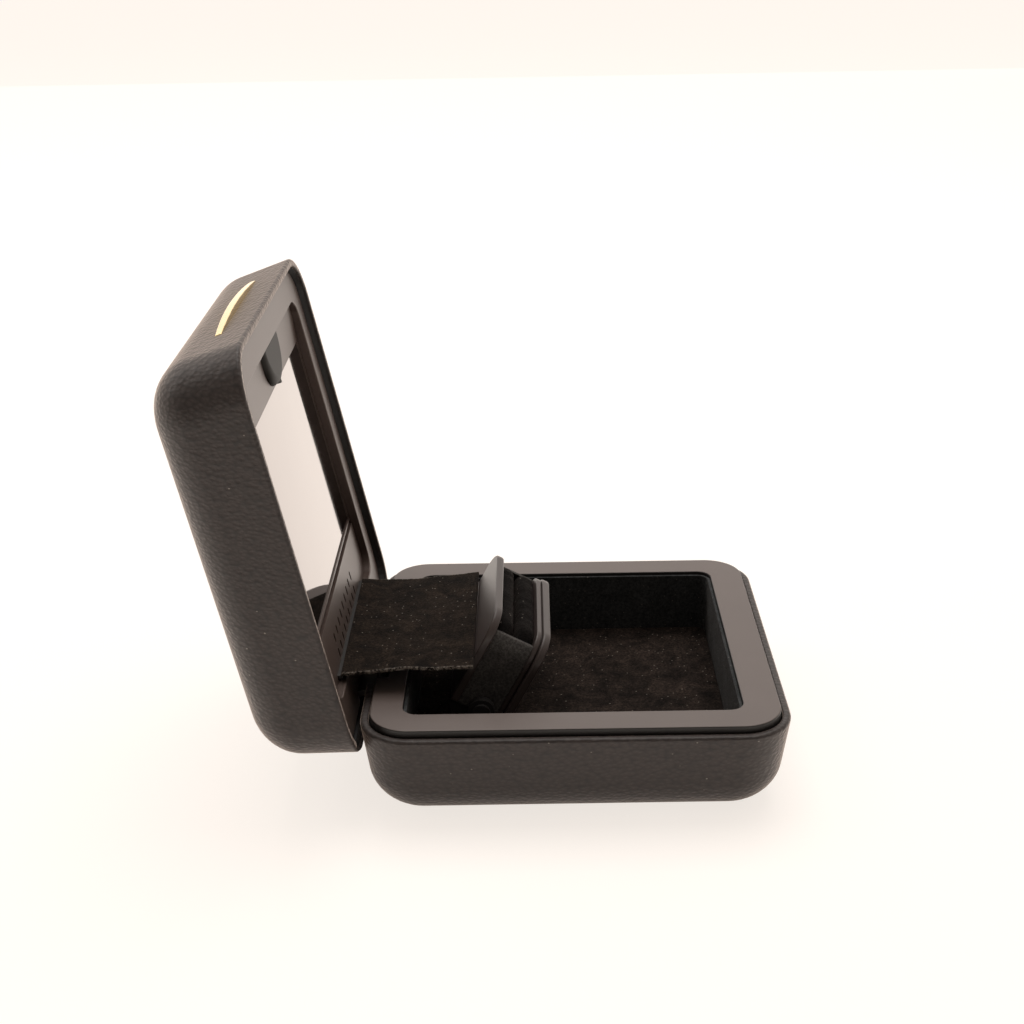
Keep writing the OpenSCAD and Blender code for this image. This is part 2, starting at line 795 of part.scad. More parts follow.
// The flap's edge on the lid is a bead, and from there it bows up a little
module pull_flap() color("#2b2321") {
  r = bow_r(flap_l, flap_crown);
  translate([flap_start[0], 0, flap_start[1]])
    rotate([0, -flap_angle, 0]) {
      intersection() {
        box_between([0, -flap_w / 2, -flap_t], [flap_l, flap_w / 2, flap_t + flap_crown]);
        translate([flap_l / 2, 0, flap_crown - r])
          difference() {
            along_y(r + flap_t / 2, -flap_w / 2, flap_w / 2, $fn = 1440);
            along_y(r - flap_t / 2, -flap_w, flap_w, $fn = 1440);
          }
      }
      along_y(flap_t / 2, -flap_w / 2, flap_w / 2);
    }
}

// Outline of a holder plate, seen along the holder's thickness
module plate_outline(w, top, low, r) {
  translate([-w / 2, low]) square([w, top - low - r]);
  translate([-w / 2 + r, low]) square([w - 2 * r, top - low]);
  for (s = [-1, 1]) translate([s * (w / 2 - r), top - r]) circle(r);
}

module holder_plate(x0, x1, w, top, low, r) {
  translate([x0, 0, 0]) rotate([90, 0, 90]) linear_extrude(x1 - x0) plate_outline(w, top, low, r);
}

// A plate whose two faces have chamfers along the ends and the top
module chamfered_plate(x0, x1, w, top, low, r) {
  hull() {
    holder_plate(x0 + chamfer, x1 - chamfer, w, top, low, r, $fn = 32);
    holder_plate(x0, x1, w - 2 * chamfer, top - chamfer, low, r - chamfer, $fn = 32);
  }
}

module holder_core() color("#171615") stand_holder() {
  core_y = band_y - band_t;
  difference() {
    union() {
      along_y(holder_t / 2 - 0.1, -core_y, core_y);
      box_between([inner_x0, -core_y, 0], [inner_x1, core_y, cushion_z]);
    }
    box_between([-far, -far, plate_low], [inner_x0, far, far]);
    box_between([inner_x1, -far, plate_low], [far, far, far]);
    along_y(axle_r + pin_clear, -far, far);
  }
}

module holder_rear_plate() color("#5a5350") stand_holder() {
  chamfered_plate(-holder_t / 2, inner_x0, holder_w, holder_h + rear_rise, plate_low, holder_r);
}

// The front plate has a step inside it, a little narrower, that holds the cushion
module holder_front_plate() color("#5a5350") stand_holder() {
  chamfered_plate(holder_t / 2 - plate_t, holder_t / 2, holder_w, holder_h, plate_low, holder_r);
  holder_plate(holder_t / 2 - plate_t - plate_gap, holder_t / 2 - plate_t,
    holder_w - 3, holder_h - 1, plate_low, holder_r - 1);
  holder_plate(inner_x1, holder_t / 2 - plate_t - plate_gap,
    holder_w - 1.6, holder_h - 0.4, plate_low, holder_r - 0.8);
}

// Suede bands that close the holder's two ends, between its plates
module holder_side_bands() color("#1d1a19") stand_holder() {
  difference() {
    mirror_y()
      box_between([inner_x0, band_y - band_t, plate_low], [inner_x1, band_y, holder_h - holder_r]);
    along_y(axle_r + pin_clear, -far, far);
  }
}

// One roll of the ring cushion: its top and its ends are round
module cushion_roll(x0, x1) {
  end_y = band_y - band_t - 0.1;
  r = (x1 - x0) / 2;
  top = holder_h - cushion_sink - r;
  translate([(x0 + x1) / 2, 0, 0]) {
    plan_block(x1 - x0, 2 * end_y, r - eps, cushion_z, top);
    translate([0, 0, top]) along_y(r, r - end_y, end_y - r);
    mirror_y() translate([0, end_y - r, top]) sphere(r);
  }
}

module ring_cushion_rear() color("#191716") stand_holder() {
  cushion_roll(inner_x0, (inner_x0 + inner_x1 - slit) / 2);
}

module ring_cushion_front() color("#191716") stand_holder() {
  cushion_roll((inner_x0 + inner_x1 + slit) / 2, inner_x1);
}

base_cover();
base_shell();
base_frame();
base_magnets();
base_screws();
base_weight();
tray_tub();
tray_lining();
tray_floor();
holder_bracket();
holder_axle();
base_hinge_leaves();
hinge_pins();
lid_cover();
lid_shell();
lid_frame();
lid_magnets();
lid_screws();
lid_hinge_leaves();
thumb_trim();
panel_bezel();
panel_glass();
panel_module();
circuit_board();
battery();
speaker_plate();
speaker();
lamp_housing();
lamp_lens();
flap_clamp();
pull_flap();
holder_core();
holder_rear_plate();
holder_front_plate();
holder_side_bands();
ring_cushion_rear();
ring_cushion_front();
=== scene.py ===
import math

import bmesh
import bpy
from mathutils import Matrix, Vector, noise


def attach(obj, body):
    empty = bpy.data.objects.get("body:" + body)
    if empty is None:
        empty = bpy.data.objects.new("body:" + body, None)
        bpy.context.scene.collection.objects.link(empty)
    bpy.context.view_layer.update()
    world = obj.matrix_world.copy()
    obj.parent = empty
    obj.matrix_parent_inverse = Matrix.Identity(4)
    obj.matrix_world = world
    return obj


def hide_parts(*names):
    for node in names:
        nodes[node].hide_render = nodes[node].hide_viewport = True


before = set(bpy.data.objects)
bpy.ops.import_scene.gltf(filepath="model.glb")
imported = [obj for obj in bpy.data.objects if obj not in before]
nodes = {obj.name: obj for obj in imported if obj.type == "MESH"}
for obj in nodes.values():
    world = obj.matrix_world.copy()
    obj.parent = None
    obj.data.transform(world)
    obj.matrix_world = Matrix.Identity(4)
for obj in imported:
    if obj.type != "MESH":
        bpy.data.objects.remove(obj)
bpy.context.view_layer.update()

MM = 0.001
scene = bpy.context.scene

# ---------------------------------------------------------------- sizes, as in the part, in mm
# The box outside, and the wrap: its corners, the edge of its closed end, its rim and its rolls
BOX_L, BOX_W, BASE_H, LID_H = 100, 98, 22.5, 23
CORNER_R, EDGE_R, WALL_SLOPE = 12, 11, math.radians(7)
RIM_W, ROLL_R, TURN_R, COVER_T, TURN_IN = 1.9, 0.8, 0.4, 0.7, 1.2
# The closed lid's rim, and the base's frame: its height, its inset and its edges
LID_Z, FRAME_TOP, FRAME_LOW, FRAME_IN, FRAME_EDGE = 22.8, 24.1, 20.5, 2.4, 0.35
# The tray's opening, floor and suede
OPEN_L, OPEN_W, OPEN_X, TRAY_R = 79, 77.4, -0.5, 3.5
TRAY_Z, FLOOR_T, SUEDE_T = 7.8, 1.4, 0.8
# The hinge line, and each hinge: its middle, its notches, its knuckle and the play round it
HINGE_X, HINGE_Z, OPEN_ANGLE = -46.5, 19.4, math.radians(102)
HINGE_Y, HINGE_W, NOTCH_W, KNUCKLE_R, MOVE_GAP = 13, 14, 14.6, 1.6, 0.3
# The cove round the hinge: its radii from the middle outwards, and how far each one reaches
COVE_RADII, COVE_ENDS = (5.107, 4.98, 3.38), (37, 41.46, 45.47)
# The closed lid's frame: its face, its back, its inset and its opening
LID_FACE_Z, LID_BACK_Z, LID_IN = 24.8, 27.5, 2.627
LID_OPEN_L, LID_OPEN_W, LID_OPEN_X, LID_OPEN_R = 77.1, 78.6, 1.05, 5
# The trim: its width, its height in the middle and at its ends, how far it stands out and is let
# in, how far it is above the rim, and how far its ends stand out
TRIM_W, TRIM_H, TRIM_END, TRIM_OUT, TRIM_IN, TRIM_UP, TRIM_TIP = 48, 2.0, 1.5, 1.4, 0.4, 7, 0.2
# The lamp: its radius, its top and height, its rounded flank, and the flat disc at its foot
LAMP_R, LAMP_Z, LAMP_H, LAMP_FLANK, LAMP_DISC = 10.5, 25.1, 2.3, 2.2, 0.3
# The ring holder, upright on its pivot: its plates, the seat between them, the rolls and bands
PIVOT_X, PIVOT_Z, HOLDER_LEAN = -22.3, 16.0, math.radians(28)
HOLDER_W, HOLDER_T, HOLDER_H, REAR_RISE = 43, 15.5, 22, 0.8
HOLDER_R, PLATE_T, PLATE_LOW, PLATE_EDGE = 7, 2, -1.534, 0.5
SEAT_X0, SEAT_X1, SLIT, CUSHION_Y, CUSHION_Z = -5.75, 4.15, 1.2, 20.1, 9
CUSHION_DROP, CUSHION_R, CUSHION_EDGE = 1.2, 6, 1.7
BAND_Y, BAND_T, BAND_TOP, EAR_Y, BRACKET_T, BRACKET_HALF = 21.1, 0.9, 19.2, 21.8, 2, 6
# The groove behind the front plate, how far its bottom is set in, and the step behind it
GROOVE_W, GROOVE_IN, GROOVE_DROP, STEP_IN, STEP_DROP = 0.3, 1.5, 1, 0.8, 0.4
# The flap: its two cut edges in Y, its thickness, and its ends on the lid and on the holder
FLAP_NEAR, FLAP_FAR, FLAP_T = -28, 26, 0.8
FLAP_START, FLAP_END = Vector((-54.85, 0, 28.87)), Vector((-23.77, 0, 30.37))

# ---------------------------------------------------------------- sizes of the scene alone
# Play round the tray's suede and the bracket's feet, the drop of the tray's walls under the
# frame's face, the lamp's distance from the opening's edge, and the slack for comparing, in mm
FIT, FOOT_FIT, WALL_DROP, LAMP_CUT, TINY = 0.1, 0.15, 0.9, 0.15, 0.01
# The frame's painted side shade begins at the first depth under its face and is full at the
# second, in mm
SIDE_SHADE_START, SIDE_SHADE_FULL = 0.05, 0.14
# Faces round a corner and round a full circle
CORNER_STEPS, CIRCLE_STEPS = 12, 96
LINT = "#a39b92"

# Turns what is placed on the closed lid to where it stands open
OPEN_LID = (Matrix.Translation(Vector((HINGE_X, 0, HINGE_Z)) * MM)
            @ Matrix.Rotation(-OPEN_ANGLE, 4, "Y")
            @ Matrix.Translation(Vector((-HINGE_X, 0, -HINGE_Z)) * MM))
# Stands what is placed on the upright holder, whose pivot is the origin, at its lean
STAND_HOLDER = (Matrix.Translation(Vector((PIVOT_X, 0, PIVOT_Z)) * MM)
                @ Matrix.Rotation(HOLDER_LEAN, 4, "Y"))


# ---------------------------------------------------------------- helpers for colour and nodes
def srgb(code):
    """A linear RGBA from a hex colour such as '#3b3836'."""
    parts = [int(code[i:i + 2], 16) / 255 for i in (1, 3, 5)]
    return tuple(c / 12.92 if c <= 0.04045 else ((c + 0.055) / 1.055) ** 2.4 for c in parts) + (1,)


def add(tree, kind, links=None, **settings):
    """Adds a node. Settings name its properties or sockets, and links map sockets to sources."""
    node = tree.nodes.new(kind)
    for name, value in settings.items():
        socket = name.replace("_", " ")
        if hasattr(node, name):
            setattr(node, name, value)
        else:
            node.inputs[socket].default_value = value
    for socket, source in (links or {}).items():
        tree.links.new(source, node.inputs[socket])
    return node


def ramp(node, *stops):
    """Sets a colour ramp's stops, each (place, hex colour or grey level)."""
    elements = node.color_ramp.elements
    while len(elements) > 1:
        elements.remove(elements[-1])
    for i, (place, colour) in enumerate(stops):
        element = elements[0] if i == 0 else elements.new(place)
        element.position = place
        element.color = srgb(colour) if isinstance(colour, str) else (colour,) * 3 + (1,)
    return node


def new_material(name, **sockets):
    """A material and its shader, with the shader's own sockets set."""
    made = bpy.data.materials.new(name)
    made.use_nodes = True
    shader = made.node_tree.nodes["Principled BSDF"]
    for socket, value in sockets.items():
        shader.inputs[socket.replace("_", " ")].default_value = value
    return made, made.node_tree, shader


# ---------------------------------------------------------------- materials
def object_mm(tree, scale=(1, 1, 1)):
    """Object coordinates in millimetres, stretched by a scale on each axis."""
    place = add(tree, "ShaderNodeTexCoord")
    return add(tree, "ShaderNodeMapping", {"Vector": place.outputs["Object"]},
               Scale=[s / MM for s in scale]).outputs["Vector"]


def bump(tree, shader, height, depth_mm, strength):
    """Adds relief of a depth in millimetres to a shader."""
    relief = add(tree, "ShaderNodeBump", {"Height": height}, Strength=strength,
                 Distance=depth_mm * MM)
    tree.links.new(relief.outputs["Normal"], shader.inputs["Normal"])


def with_specks(tree, place, colour, density, strength):
    """A colour with specks of pale lint about 0.3 mm across, so many cells to the millimetre."""
    cells = add(tree, "ShaderNodeTexVoronoi", {"Vector": place}, Scale=density, Randomness=1.0)
    seen = ramp(add(tree, "ShaderNodeValToRGB", {"Fac": cells.outputs["Distance"]}),
                (0.1 * density, strength), (0.22 * density, 0.0))
    return add(tree, "ShaderNodeMixRGB", {"Fac": seen.outputs["Color"], "Color1": colour},
               Color2=srgb(LINT)).outputs["Color"]


# Polyurethane leatherette, embossed: small uneven pebbles with a soft satin finish that goes
# pale where it is seen at a low angle.
def leatherette_finish():
    made, tree, shader = new_material("leatherette_pebbled", Roughness=0.5, IOR=1.5,
                                      Specular_IOR_Level=0.28, Sheen_Weight=0.8,
                                      Sheen_Roughness=0.3)
    shader.inputs["Sheen Tint"].default_value = srgb("#f0dccf")
    # The grain is pressed in a little longer along the box than it is high
    place = object_mm(tree, (0.75, 0.75, 1.15))
    drift = add(tree, "ShaderNodeTexNoise", {"Vector": place}, Scale=0.9, Detail=2.0)
    bent = add(tree, "ShaderNodeMixRGB", {"Color1": place, "Color2": drift.outputs["Color"]},
               blend_type="ADD", Fac=0.55)
    # Pebbles are about 1.3 mm long and 0.8 mm high, a little coarser than real ones, so they show
    pebbles = add(tree, "ShaderNodeTexVoronoi", {"Vector": bent.outputs["Color"]}, Scale=1.05,
                  feature="SMOOTH_F1", Smoothness=0.5, Randomness=1.0)
    creases = add(tree, "ShaderNodeTexNoise", {"Vector": place}, Scale=0.35, Detail=5.0,
                  Roughness=0.6)
    height = add(tree, "ShaderNodeMath", {0: creases.outputs["Fac"]}, operation="MULTIPLY_ADD")
    height.inputs[1].default_value = 0.8
    tree.links.new(pebbles.outputs["Distance"], height.inputs[2])
    bump(tree, shader, height.outputs[0], 0.26, 0.5)
    tone = ramp(add(tree, "ShaderNodeValToRGB", {"Fac": pebbles.outputs["Distance"]}),
                (0.0, "#393230"), (0.45, "#322c2a"), (0.9, "#252120"))
    wear = add(tree, "ShaderNodeTexNoise", {"Vector": place}, Scale=0.06, Detail=3.0)
    worn = ramp(add(tree, "ShaderNodeValToRGB", {"Fac": wear.outputs["Fac"]}),
                (0.35, 0.88), (0.7, 1.06))
    mixed = add(tree, "ShaderNodeMixRGB",
                {"Color1": tone.outputs["Color"], "Color2": worn.outputs["Color"]},
                blend_type="MULTIPLY", Fac=1.0)
    dusted = with_specks(tree, place, mixed.outputs["Color"], 0.25, 0.6)
    tree.links.new(dusted, shader.inputs["Base Color"])
    return made


# Injection-moulded ABS with a soft-touch coat: smooth and satin, with a trace of orange peel.
# A side-shade colour paints shade on the sides below the face, and a tint warms what the coat
# gives back.
def soft_touch_finish(name, colour, roughness, shine=0.36, side_shade_colour=None, tint="#ffffff"):
    made, tree, shader = new_material(name, Roughness=roughness, IOR=1.5,
                                      Specular_IOR_Level=shine, Specular_Tint=srgb(tint))
    place = object_mm(tree)
    cloud = add(tree, "ShaderNodeTexNoise", {"Vector": place}, Scale=0.08, Detail=2.0)
    low = tuple(c * 0.93 for c in srgb(colour)[:3]) + (1,)
    tone = ramp(add(tree, "ShaderNodeValToRGB", {"Fac": cloud.outputs["Fac"]}),
                (0.3, 0), (0.7, 1))
    shade = add(tree, "ShaderNodeMixRGB", {"Fac": tone.outputs["Color"]}, Color1=low,
                Color2=srgb(colour)).outputs["Color"]
    if side_shade_colour is not None:
        # Painted shade: below its face the frame's sides take a dark colour that stands in for the
        # shade falling on them
        parts = add(tree, "ShaderNodeSeparateXYZ", {"Vector": place})
        face = add(tree, "ShaderNodeMapRange", {"Value": parts.outputs["Z"]},
                   From_Min=FRAME_TOP - SIDE_SHADE_FULL, From_Max=FRAME_TOP - SIDE_SHADE_START)
        shade = add(tree, "ShaderNodeMixRGB", {"Fac": face.outputs[0], "Color2": shade},
                    Color1=srgb(side_shade_colour)).outputs["Color"]
    tree.links.new(shade, shader.inputs["Base Color"])
    peel = add(tree, "ShaderNodeTexNoise", {"Vector": place}, Scale=4.0, Detail=2.0)
    bump(tree, shader, peel.outputs["Fac"], 0.01, 0.35)
    return made


# Microfibre suede: a short dense nap that is almost black face on, greys at a low angle and
# holds a little lint.
def suede_finish(name, dark, light, lint, cut_edge=None, grain=0.9):
    made, tree, shader = new_material(name, Roughness=0.95, IOR=1.3, Specular_IOR_Level=0.15,
                                      Sheen_Weight=0.08, Sheen_Roughness=0.45)
    shader.inputs["Sheen Tint"].default_value = srgb("#9c8d84")
    place = object_mm(tree)
    brushed = add(tree, "ShaderNodeTexNoise", {"Vector": place}, Scale=0.16, Detail=4.0,
                  Roughness=0.65, Distortion=0.8)
    tone = ramp(add(tree, "ShaderNodeValToRGB", {"Fac": brushed.outputs["Fac"]}),
                (0.34, dark), (0.68, light))
    # Clumps of the nap, 0.6 mm apart
    tufts = add(tree, "ShaderNodeTexNoise", {"Vector": place}, Scale=1.7, Detail=4.0,
                Roughness=0.75)
    speckle = ramp(add(tree, "ShaderNodeValToRGB", {"Fac": tufts.outputs["Fac"]}),
                   (0.4, 0.12), (0.62, 1.0))
    mixed = add(tree, "ShaderNodeMixRGB",
                {"Color1": tone.outputs["Color"], "Color2": speckle.outputs["Color"]},
                blend_type="MULTIPLY", Fac=grain)
    colour = with_specks(tree, place, mixed.outputs["Color"], 0.55, lint)
    if cut_edge is not None:
        # Pale loose fibres along the two cut edges, (their middle, how far each is from it) in Y
        parts = add(tree, "ShaderNodeSeparateXYZ", {"Vector": place})
        offset = add(tree, "ShaderNodeMath", {0: parts.outputs["Y"]}, operation="SUBTRACT")
        offset.inputs[1].default_value = cut_edge[0]
        reach = add(tree, "ShaderNodeMath", {0: offset.outputs[0]}, operation="ABSOLUTE")
        near = add(tree, "ShaderNodeMapRange", {"Value": reach.outputs[0]},
                   From_Min=cut_edge[1] - 0.5, From_Max=cut_edge[1] - 0.1)
        loose = ramp(add(tree, "ShaderNodeValToRGB", {"Fac": tufts.outputs["Fac"]}),
                     (0.42, 0.0), (0.6, 0.5))
        both = add(tree, "ShaderNodeMath", {0: near.outputs[0], 1: loose.outputs["Color"]},
                   operation="MULTIPLY")
        colour = add(tree, "ShaderNodeMixRGB", {"Fac": both.outputs[0], "Color1": colour},
                     Color2=srgb(LINT)).outputs["Color"]
    tree.links.new(colour, shader.inputs["Base Color"])
    bump(tree, shader, tufts.outputs["Fac"], 0.25, 0.8)
    return made


# Gold-coloured plating over a polished zinc casting: bright, with faint long buffing lines.
def gold_finish():
    made, tree, shader = new_material("gold_plated_zinc", Base_Color=srgb("#ecd7a4"), Metallic=1.0)
    place = object_mm(tree, (1, 0.05, 1))
    lines = add(tree, "ShaderNodeTexNoise", {"Vector": place}, Scale=3.0, Detail=3.0)
    shine = ramp(add(tree, "ShaderNodeValToRGB", {"Fac": lines.outputs["Fac"]}),
                 (0.3, 0.16), (0.7, 0.28))
    tree.links.new(shine.outputs["Color"], shader.inputs["Roughness"])
    bump(tree, shader, lines.outputs["Fac"], 0.01, 0.3)
    return made


# Float glass with a part-mirrored back, as a cover over a display that is off: it gives back
# what stands in front of it, a little dimmed.
def mirror_glass_finish():
    made, tree, shader = new_material("part_mirrored_glass", Metallic=1.0)
    place = object_mm(tree)
    haze = add(tree, "ShaderNodeTexNoise", {"Vector": place}, Scale=0.05, Detail=2.0)
    tone = ramp(add(tree, "ShaderNodeValToRGB", {"Fac": haze.outputs["Fac"]}),
                (0.3, "#655c59"), (0.7, "#685f5c"))
    tree.links.new(tone.outputs["Color"], shader.inputs["Base Color"])
    smear = ramp(add(tree, "ShaderNodeValToRGB", {"Fac": haze.outputs["Fac"]}),
                 (0.3, 0.03), (0.7, 0.06))
    tree.links.new(smear.outputs["Color"], shader.inputs["Roughness"])
    return made


# Cold-rolled or nickel-plated steel: satin, with fine rolling lines along Y.
def steel_finish(name, colour, low, high):
    made, tree, shader = new_material(name, Base_Color=srgb(colour), Metallic=1.0)
    place = object_mm(tree, (1, 0.06, 1))
    lines = add(tree, "ShaderNodeTexNoise", {"Vector": place}, Scale=5.0, Detail=3.0)
    shine = ramp(add(tree, "ShaderNodeValToRGB", {"Fac": lines.outputs["Fac"]}),
                 (0.3, low), (0.7, high))
    tree.links.new(shine.outputs["Color"], shader.inputs["Roughness"])
    bump(tree, shader, lines.outputs["Fac"], 0.01, 0.4)
    return made


# Plain moulded or laminated pieces, most of them hidden: even, with a light moulded texture.
def moulded_finish(name, colour, roughness):
    made, tree, shader = new_material(name, Roughness=roughness, IOR=1.5)
    place = object_mm(tree)
    speckle = add(tree, "ShaderNodeTexNoise", {"Vector": place}, Scale=2.0, Detail=2.0)
    tone = ramp(add(tree, "ShaderNodeValToRGB", {"Fac": speckle.outputs["Fac"]}),
                (0.35, 0.9), (0.65, 1.05))
    mixed = add(tree, "ShaderNodeMixRGB", {"Color2": tone.outputs["Color"]},
                blend_type="MULTIPLY", Fac=1.0, Color1=srgb(colour))
    tree.links.new(mixed.outputs["Color"], shader.inputs["Base Color"])
    bump(tree, shader, speckle.outputs["Fac"], 0.02, 0.4)
    return made


LEATHER = leatherette_finish()
# Painted shade: the base frame's sides are coloured near black below its face
FRAME_ABS_SHADED_SIDES = soft_touch_finish("abs_soft_touch", "#564c48", 0.42, side_shade_colour="#211f1e")
LID_ABS = soft_touch_finish("abs_soft_touch_lid", "#433833", 0.42, 0.44, tint="#ffeee8")
HOLDER_ABS = soft_touch_finish("abs_soft_touch_holder", "#3b3331", 0.42)
# Partly painted shade: the housing's near-black colour is its own dark plastic and also stands in
# for the shade on its flank
LAMP_BLACK_AND_SHADE = soft_touch_finish("abs_lamp_housing_black_and_shade", "#17130f", 0.55, 0.15)
SHELL_ABS = moulded_finish("abs_moulded_black", "#1c1a19", 0.55)
SUEDE = suede_finish("microfibre_suede", "#15110f", "#382f2a", lint=0.4)
SUEDE_CUSHION = suede_finish("microfibre_suede_cushion", "#090808", "#151211", lint=0.5)
SUEDE_FLAP = suede_finish("microfibre_suede_flap", "#100d0b", "#332a23", lint=0.45,
                          cut_edge=((FLAP_NEAR + FLAP_FAR) / 2, (FLAP_FAR - FLAP_NEAR) / 2))
# Painted light: the tray walls' suede is a lighter, greyer copy of the lining suede that lifts the
# walls out of the tray's shade
SUEDE_WALL_PAINTED_LIGHT = suede_finish("microfibre_suede_wall_painted_light", "#363839", "#454748", lint=0.3, grain=0.6)
# Painted light: the end bands' suede is a lighter copy of the lining suede that lifts the bands
# out of the shade between the holder's plates
SUEDE_BAND_PAINTED_LIGHT = suede_finish("microfibre_suede_band_painted_light", "#413f3e", "#575553", lint=0.2, grain=0.6)
GOLD = gold_finish()
GLASS = mirror_glass_finish()
STEEL = steel_finish("rolled_steel", "#8f8c86", 0.3, 0.45)
NICKEL = steel_finish("nickel_plate", "#b5b4b1", 0.18, 0.3)
MODULE = moulded_finish("display_module_black", "#17181a", 0.35)
BOARD = moulded_finish("glass_epoxy_board", "#1f5a38", 0.4)
FOIL = steel_finish("battery_foil", "#9a9c9e", 0.3, 0.4)
LENS = moulded_finish("smoked_acrylic_lens", "#33302d", 0.15)

FINISH_OF_NODE = {
    "base_cover": LEATHER, "lid_cover": LEATHER, "base_shell": SHELL_ABS, "lid_shell": SHELL_ABS,
    "base_frame": FRAME_ABS_SHADED_SIDES, "lid_frame": LID_ABS, "panel_bezel": LID_ABS,
    "speaker_plate": LID_ABS, "lamp_housing": LAMP_BLACK_AND_SHADE, "holder_rear_plate": HOLDER_ABS,
    "holder_front_plate": HOLDER_ABS, "base_magnets": NICKEL, "lid_magnets": NICKEL,
    "base_screws": NICKEL, "lid_screws": NICKEL, "holder_axle": SHELL_ABS, "hinge_pins": NICKEL,
    "base_hinge_leaves": STEEL, "lid_hinge_leaves": STEEL, "base_weight": STEEL,
    "tray_tub": SHELL_ABS, "tray_lining": SUEDE_WALL_PAINTED_LIGHT, "tray_floor": SUEDE,
    "holder_bracket": SHELL_ABS, "holder_core": SHELL_ABS, "holder_side_bands": SUEDE_BAND_PAINTED_LIGHT,
    "ring_cushion_rear": SUEDE, "ring_cushion_front": SUEDE, "pull_flap": SUEDE_FLAP,
    "flap_clamp": SHELL_ABS, "thumb_trim": GOLD, "panel_glass": GLASS, "panel_module": MODULE,
    "circuit_board": BOARD, "battery": FOIL, "speaker": SHELL_ABS, "lamp_lens": LENS,
}
for name, made in FINISH_OF_NODE.items():
    nodes[name].data.materials.clear()
    nodes[name].data.materials.append(made)


# ---------------------------------------------------------------- modelling helpers
def alone(piece):
    """Leaves object mode with this piece selected and nothing else."""
    if bpy.context.mode != "OBJECT":
        bpy.ops.object.mode_set(mode="OBJECT")
    bpy.ops.object.select_all(action="DESELECT")
    piece.select_set(True)
    bpy.context.view_layer.objects.active = piece


def fresh_block(name, low, high):
    """A block between two corners in mm, selected alone."""
    bpy.ops.object.select_all(action="DESELECT")
    bpy.ops.mesh.primitive_cube_add(size=1, location=[(a + b) / 2 * MM for a, b in zip(low, high)])
    block = bpy.context.object
    block.name = block.data.name = name
    block.scale = [(b - a) * MM for a, b in zip(low, high)]
    bpy.ops.object.transform_apply(location=True, rotation=True, scale=True)
    return block


def pick(kind, test):
    """In edit mode, selects the faces or edges whose middle, in mm, and direction pass a test."""
    bpy.ops.mesh.select_mode(type=kind)
    bpy.ops.mesh.select_all(action="DESELECT")
    mesh = bmesh.from_edit_mesh(bpy.context.object.data)
    for item in (mesh.faces if kind == "FACE" else mesh.edges):
        if kind == "FACE":
            middle, way = item.calc_center_median() / MM, item.normal
        else:
            ends = [corner.co for corner in item.verts]
            middle, way = (ends[0] + ends[1]) / 2 / MM, (ends[1] - ends[0]).normalized()
        item.select = test(middle, way)
    mesh.select_flush_mode()
    bmesh.update_edit_mesh(bpy.context.object.data)


def bevel_picked(offset, segments):
    bpy.ops.mesh.bevel(offset=offset * MM, segments=segments, affect="EDGES", clamp_overlap=False)


def rounded_plan(name, length, width, radius, low_z, high_z, middle_x=0.0):
    """A block with rounded upright corners."""
    block = fresh_block(name, (middle_x - length / 2, -width / 2, low_z),
                        (middle_x + length / 2, width / 2, high_z))
    bpy.ops.object.mode_set(mode="EDIT")
    pick("EDGE", lambda middle, way: abs(way.z) > 0.9)
    bevel_picked(radius, CORNER_STEPS)
    bpy.ops.object.mode_set(mode="OBJECT")
    return block


def apply_last(piece):
    alone(piece)
    bpy.ops.object.modifier_apply(modifier=piece.modifiers[-1].name)


def combine(piece, other, operation="DIFFERENCE"):
    """Cuts another solid out of a piece, or adds it, and deletes the other one."""
    tool = piece.modifiers.new("combine", "BOOLEAN")
    tool.operation = operation
    tool.solver = "MANIFOLD"
    tool.object = other
    apply_last(piece)
    bpy.data.objects.remove(other)


def soften(piece, width, segments=3):
    """Rounds every edge that turns more than 35 degrees."""
    edge = piece.modifiers.new("edge_round", "BEVEL")
    edge.width = width * MM
    edge.segments = segments
    edge.limit_method = "ANGLE"
    edge.angle_limit = math.radians(35)
    apply_last(piece)


def plump(piece, voxel, swell, lump):
    """Remeshes a soft piece and gives it the slight unevenness of cloth over foam."""
    alone(piece)
    piece.data.remesh_voxel_size = voxel * MM
    bpy.ops.object.voxel_remesh()
    texture = bpy.data.textures.new(piece.name + "_unevenness", "CLOUDS")
    texture.noise_scale = lump * MM
    uneven = piece.modifiers.new("unevenness", "DISPLACE")
    uneven.texture = texture
    uneven.strength = swell * MM
    uneven.mid_level = 0.5
    apply_last(piece)
    even = piece.modifiers.new("even", "SMOOTH")
    even.factor = 0.5
    even.iterations = 2
    apply_last(piece)


def hand_over(piece, body, replaced, finish, place=None, sharp=30):
    """Places a finished piece, shades it, gives it its finish, hangs it on its body and hides the
    parts it replaces.
    """
    alone(piece)
    if place is not None:
        piece.matrix_world = place
        bpy.ops.object.transform_apply(location=True, rotation=True, scale=True)
    bpy.ops.object.shade_smooth_by_angle(angle=math.radians(sharp))
    even = piece.modifiers.new("even_normals", "WEIGHTED_NORMAL")
    even.keep_sharp = True
    apply_last(piece)
    piece.data.materials.clear()
    piece.data.materials.append(finish)
    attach(piece, body)
    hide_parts(*replaced)


# ---------------------------------------------------------------- leather wraps and their frames
def inset_steps(steps):
    """Insets the selected face again and again, each time by (inwards, upwards) in mm."""
    for inwards, upwards in steps:
        bpy.ops.mesh.inset(thickness=inwards * MM, depth=upwards * MM, use_even_offset=True)


def quarter_round(inwards, upwards, count, rolling_in=False):
    """The (inwards, upwards) steps of a quarter round, from an upright wall to its flat top or,
    rolling in, from the top down into an upright hole."""
    turns = [math.pi / 2 * i / count for i in range(count + 1)]
    if rolling_in:
        points = [(inwards * math.sin(a), upwards * (math.cos(a) - 1)) for a in turns]
    else:
        points = [(inwards * (1 - math.cos(a)), upwards * math.sin(a)) for a in turns]
    return [(b[0] - a[0], b[1] - a[1]) for a, b in zip(points, points[1:])]


